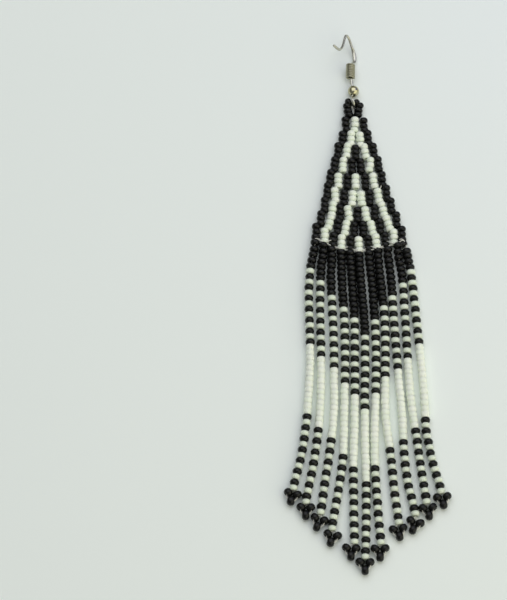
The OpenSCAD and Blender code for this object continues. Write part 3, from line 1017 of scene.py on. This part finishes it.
@dataclass
class EarHook:
    """The bent wire of the hook, with the coil and the ball on its stem."""

    thickness: float = 0.68
    # The wire's width near its two ends, point by point, as shares
    rounded_ends: Pair = (0.55, 0.88)
    eye_at: Triple = (-1.92, 53.75, 1.5)
    eye_radius: float = 1.2
    eye_turn_deg: float = 14.0
    eye_from_deg: float = -50.0
    eye_to_deg: float = -325.0
    eye_steps: int = 40
    bend_steps: int = 8
    sides: int = 16
    stem: tuple[Triple, ...] = (
        (-1.9, 55.9, 1.42), (-1.86, 57, 1.46), (-1.98, 58.3, 1.53), (-2.15, 59.6, 1.6),
        (-2.26, 60.8, 1.67), (-2.3, 62.2, 1.74), (-2.2, 63.6, 1.81),
    )
    coil_foot: Triple = (-2.45, 60.5, 1.66)
    coil_head: Triple = (-2.3, 64.7, 1.88)
    coil_width: float = 2.42
    coil_wire: float = 0.49
    coil_turns: float = 7.6
    coil_steps: int = 28
    coil_sides: int = 10
    stem_rise_deg: float = 3.0
    arch_lean_deg: float = 40.0
    # Points of the arch: how far up the stem's line, and how far out towards the tail
    arch: tuple[Pair, ...] = (
        (0.1, -0.35), (0.6, -1.1), (1.4, -1.6), (2.6, -1.7), (3.9, -1.3), (5.1, -0.6),
        (6.2, 0), (7.1, 0.6), (7.6, 1.35), (7.3, 2.05), (6.3, 2.45), (4.9, 2.95),
        (3.6, 3.55), (2.7, 4.3), (2.4, 5.1), (2.5, 6), (2.8, 7.2),
    )
    # The front ends at this point of the arch, and is hammered between these distances up it, to
    # this width and thickness, as shares
    front_end: int = 5
    flat_from: float = 0.6
    flat_to: float = 4.8
    flat_wide: float = 1.4
    flat_thin: float = 0.72
    ball_at: Triple = (-1.68, 57, 1.45)
    ball_turn_deg: float = -4.0
    ball_width: float = 2.9
    ball_bore: float = 1.2
    ball_sides: int = 40
    ball_steps: int = 22
    # Where the bore's wall has its two inner rings, as a share of half its length
    ball_wall: float = 0.4

    @property
    def stem_line(self) -> Vector:
        """Direction of the stem's line."""
        rise = math.radians(self.stem_rise_deg)
        return Vector((0, math.cos(rise), math.sin(rise)))

    @property
    def arch_out(self) -> Vector:
        """Direction across the stem's line in which the arch stands out."""
        lean, rise = math.radians(self.arch_lean_deg), math.radians(self.stem_rise_deg)
        return Vector((-math.sin(lean), -math.cos(lean) * math.sin(rise), math.cos(lean) * math.cos(rise)))

    def flatness(self, along: float) -> float:
        """Return how much of the hammered flattening there is at a distance up the front."""
        if not self.flat_from < along < self.flat_to:
            return 0.0
        return math.sqrt(math.sin(math.pi * (along - self.flat_from) / (self.flat_to - self.flat_from)))

    def wire_path(self) -> bpy.types.Mesh:
        """Lay out the wire's middle line, and how far it is hammered flat at each point.

        Returns:
            A path whose points carry side, the direction across the wire that is nearest to X, and
            wide and thin, the wire's width along that and its thickness, as shares of a round wire.
        """
        eye_line, head = bearing(90 + self.eye_turn_deg), Vector(self.coil_head)
        path = []
        eye_step_deg = (self.eye_to_deg - self.eye_from_deg) / self.eye_steps
        for k in range(self.eye_steps):
            angle = math.radians(self.eye_from_deg + eye_step_deg * k)
            out = math.cos(angle) * eye_line + math.sin(angle) * UP
            path.append(Vector(self.eye_at) + self.eye_radius * out)
        bend = [Vector(p) for p in self.stem]
        bend += [head + up * self.stem_line + out * self.arch_out for up, out in self.arch]
        arch_start = len(path) + self.bend_steps * len(self.stem)
        front_end = arch_start + self.bend_steps * self.front_end
        path += [smooth(bend, k / self.bend_steps) for k in range(self.bend_steps * (len(bend) - 1) + 1)]
        mesh = path_of("ear_hook_wire", [path])
        sides, wides, thins = marked(mesh, {"side": "FLOAT_VECTOR", "wide": "FLOAT", "thin": "FLOAT"})
        right = Vector((1.0, 0.0, 0.0))
        for k, p in enumerate(path):
            ahead = (path[min(k + 1, len(path) - 1)] - path[max(k - 1, 0)]).normalized()
            flat = self.flatness((p - head).dot(self.stem_line)) if arch_start <= k <= front_end else 0.0
            from_end = min(k, len(path) - 1 - k)
            width = self.rounded_ends[from_end] if from_end < len(self.rounded_ends) else 1.0
            sides[k].vector = (right - right.dot(ahead) * ahead).normalized()
            wides[k].value = width * (1 + flat * (self.flat_wide - 1))
            thins[k].value = width * (1 - flat * (1 - self.flat_thin))
        return mesh

    @staticmethod
    def bending() -> PieceTree:
        """Build the tree that draws a wire along a path and hammers it flat where the path says.

        Returns:
            A tree whose inputs are the path, the wire's thickness, the sides of its section and
            its metal.
        """
        tree = PieceTree("bend_wire", {
            "Path": "Geometry", "Thickness": "Float", "Sides": "Int", "Metal": "Material",
        })
        given = tree.given
        place = tree.add("GeometryNodeInputPosition")
        kept = {"Geometry": given["Path"], "Name": "middle", "Value": place}
        path = tree.add("GeometryNodeStoreNamedAttribute", kept, data_type="FLOAT_VECTOR", domain="POINT")
        drawn = tree.tube(tree.add("GeometryNodeMeshToCurve", {0: path}), given["Thickness"], given["Sides"])
        middle, side, wide, thin = (
            tree.add("GeometryNodeInputNamedAttribute", {"Name": name}, data_type=kind)
            for name, kind in (
                ("middle", "FLOAT_VECTOR"), ("side", "FLOAT_VECTOR"), ("wide", "FLOAT"), ("thin", "FLOAT"),
            )
        )
        out = tree.add("ShaderNodeVectorMath", {0: place, 1: middle}, operation="SUBTRACT")
        reach = tree.add("ShaderNodeVectorMath", {0: out, 1: side}, operation="DOT_PRODUCT")
        across = tree.add("ShaderNodeVectorMath", {0: side, "Scale": reach}, operation="SCALE")
        rest = tree.add("ShaderNodeVectorMath", {0: out, 1: across}, operation="SUBTRACT")
        widened = tree.add("ShaderNodeVectorMath", {0: across, 1: wide, 2: middle}, operation="MULTIPLY_ADD")
        hammered = tree.add("ShaderNodeVectorMath", {0: rest, 1: thin, 2: widened}, operation="MULTIPLY_ADD")
        moved = tree.add("GeometryNodeSetPosition", {"Geometry": drawn, "Position": hammered})
        tree.deliver(tree.dressed(moved, given["Metal"]))
        return tree

    @staticmethod
    def winding() -> PieceTree:
        """Build the tree that winds a coil of wire.

        Returns:
            A tree whose inputs are an empty piece, the coil's turns, reach, height, foot and
            line, the wire's thickness, the steps of a turn, the sides of its section and its metal.
        """
        tree = PieceTree("wind_coil", {
            "Start": "Geometry", "Turns": "Float", "Reach": "Float", "Height": "Float", "Foot": "Vector",
            "Line": "Vector", "Thickness": "Float", "Steps": "Int", "Sides": "Int", "Metal": "Material",
        })
        given = tree.given
        spiral = tree.add("GeometryNodeCurveSpiral", {
            "Resolution": given["Steps"], "Rotations": given["Turns"], "Start Radius": given["Reach"],
            "End Radius": given["Reach"], "Height": given["Height"],
        })
        wound = tree.tube(spiral, given["Thickness"], given["Sides"])
        upright = tree.add("FunctionNodeAlignRotationToVector", {"Vector": given["Line"]}, axis="Z")
        place = {"Geometry": wound, "Translation": given["Foot"], "Rotation": upright}
        tree.deliver(tree.dressed(tree.add("GeometryNodeTransform", place), given["Metal"]))
        return tree

    def wire(self) -> Piece:
        """Bend the hook: round its eye, up the stem and over the arch."""
        piece = new_object("ear_hook_wire", self.wire_path())
        values = {"Thickness": self.thickness * MM, "Sides": self.sides, "Metal": NICKEL_WIRE.material()}
        self.bending().finish(piece, values, spare=("middle", "side", "wide", "thin"))
        return piece

    def coil(self) -> Piece:
        """Wind the coil round the stem's line."""
        foot, head = Vector(self.coil_foot), Vector(self.coil_head)
        line = (head - foot).normalized()
        piece = new_object("hook_coil", bpy.data.meshes.new("hook_coil"))
        values = {
            "Turns": self.coil_turns,
            "Reach": (self.coil_width - self.coil_wire) / 2 * MM,
            "Height": ((head - foot).length - self.coil_wire) * MM,
            "Foot": (foot + line * self.coil_wire / 2) * MM,
            "Line": line,
            "Thickness": self.coil_wire * MM,
            "Steps": self.coil_steps,
            "Sides": self.coil_sides,
            "Metal": COIL_WIRE.material(),
        }
        self.winding().finish(piece, values)
        return piece

    def ball(self) -> Piece:
        """Turn the drilled ball round its bore, and thread it on the stem."""
        radius = self.ball_width / 2
        lip = math.asin(self.ball_bore / self.ball_width)
        angles = [lip + (math.pi - 2 * lip) * k / self.ball_steps for k in range(self.ball_steps + 1)]
        section = [(radius * math.sin(angle), -radius * math.cos(angle)) for angle in angles]
        section += [(self.ball_bore / 2, radius * math.cos(lip) * end * self.ball_wall) for end in (1, -1)]
        mesh = turned("hook_ball", section, self.ball_sides)
        laid_down = Matrix.Rotation(math.radians(-90), 4, "X")
        swung = Matrix.Rotation(math.radians(self.ball_turn_deg), 4, "Z")
        mesh.transform(Matrix.Translation(Vector(self.ball_at) * MM) @ swung @ laid_down)
        mesh.materials.append(PLATED_BALL.material())
        return new_object("hook_ball", mesh)

    def build(self) -> list[Piece]:
        """Make the hook's three pieces, which stand for their solids."""
        pieces = [self.wire(), self.coil(), self.ball()]
        stands_for = (("ear_hook", "hook_wire"), ("coil", "hook_wire"), ("ball", "ball_metal"))
        for piece, (node, slot) in zip(pieces, stands_for):
            piece.data.shade_smooth()
            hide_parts(node)
        return pieces


@dataclass(frozen=True)
class PhotoCamera:
    """A camera at the photograph's angle, with the photograph's framing."""

    image: tuple[int, int] = (507, 600)
    focal_pixels: float = 2358.0
    elevation_deg: float = 67.0
    distance: float = 590.0
    target: Triple = (-27.6, -1.2, 0.0)
    sensor: float = 36.0
    nearest: float = 10.0

    def build(self) -> None:
        """Set the scene's camera."""
        data = bpy.data.cameras.new("photo_camera")
        data.sensor_width = self.sensor
        data.lens = self.focal_pixels * self.sensor / max(self.image)
        data.clip_start = self.nearest * MM
        camera = bpy.data.objects.new("photo_camera", data)
        bpy.context.scene.collection.objects.link(camera)
        tilt = math.radians(self.elevation_deg)
        away = Vector((0, -math.cos(tilt), math.sin(tilt)))
        camera.location = (Vector(self.target) + self.distance * away) * MM
        camera.rotation_euler = (math.radians(90 - self.elevation_deg), 0, 0)
        bpy.context.scene.camera = camera


@dataclass(frozen=True)
class SoftLight:
    """One soft box.

    Attributes:
        name: The light's name.
        at: Where it stands, in millimetres.
        size: Its width and height, in millimetres.
        watts: Its power.
        colour: Its sRGB colour.
    """

    name: str
    at: Triple
    size: Pair
    watts: float
    colour: str

    def build(self, target: Vector) -> None:
        """Hang the light and turn it to the target."""
        data = bpy.data.lights.new(self.name, "AREA")
        data.shape = "RECTANGLE"
        data.size, data.size_y = self.size[0] * MM, self.size[1] * MM
        data.energy = self.watts
        data.color = linear(self.colour)[:3]
        light = bpy.data.objects.new(self.name, data)
        light.location = Vector(self.at) * MM
        light.rotation_euler = (target - light.location).to_track_quat("-Z", "Y").to_euler()
        bpy.context.scene.collection.objects.link(light)


@dataclass(frozen=True)
class Studio:
    """A pale surface under soft light."""

    board: float = 1600.0
    sky: str = "#F4F8F6"
    sky_strength: float = 0.21
    # A window beyond the hook, the room at the lower right, and a faint cool light at the upper right
    lights: tuple[SoftLight, ...] = (
        SoftLight("window_light", (0.0, 220.0, 620.0), (940.0, 860.0), 3.52, "#F1F3F8"),
        SoftLight("room_light", (460.0, -330.0, 340.0), (1100.0, 660.0), 2.62, "#FBF9DF"),
        SoftLight("far_sky_light", (110.0, 120.0, 95.0), (120.0, 120.0), 0.012, "#2038FF"),
    )

    def build(self) -> None:
        """Lay the board, light it, and set a plain view of its colours."""
        half = self.board / 2 * MM
        corners = [Vector((x * half, y * half, 0)) for x, y in ((-1, -1), (1, -1), (1, 1), (-1, 1))]
        board = new_object("surface", mesh_of("surface", corners, [[0, 1, 2, 3]]))
        board.data.materials.append(PALE_BOARD.material())
        world = bpy.data.worlds.new("soft_room")
        world.use_nodes = True
        tree = world.node_tree
        tree.nodes.clear()
        even_light = {"Color": linear(self.sky), "Strength": self.sky_strength}
        glow = made_by(tree, "ShaderNodeBackground", even_light)
        add_node(tree, "ShaderNodeOutputWorld", {"Surface": glow})
        bpy.context.scene.world = world
        for light in self.lights:
            light.build(Vector((0, 0, 0)))
        bpy.context.scene.view_settings.view_transform = "Standard"


def main() -> None:
    """Build the studio and each part of the earring, in order."""
    logging.basicConfig(level=logging.INFO, format="%(name)s: %(message)s")
    PhotoCamera().build()
    Studio().build()
    threader = BeadThreader(BEAD_SHAPES)
    fan = BeadedFan(threader)
    fringe = Fringe(threader)
    for part in (fan, fringe, Stitching(ThreadSewer(), fan, fringe), EarHook()):
        for piece in part.build():
            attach(piece, BODY)
            LOG.info("%s: %d faces", piece.name, len(piece.data.polygons))
    threader.put_away()


if __name__ == "__main__":
    main()
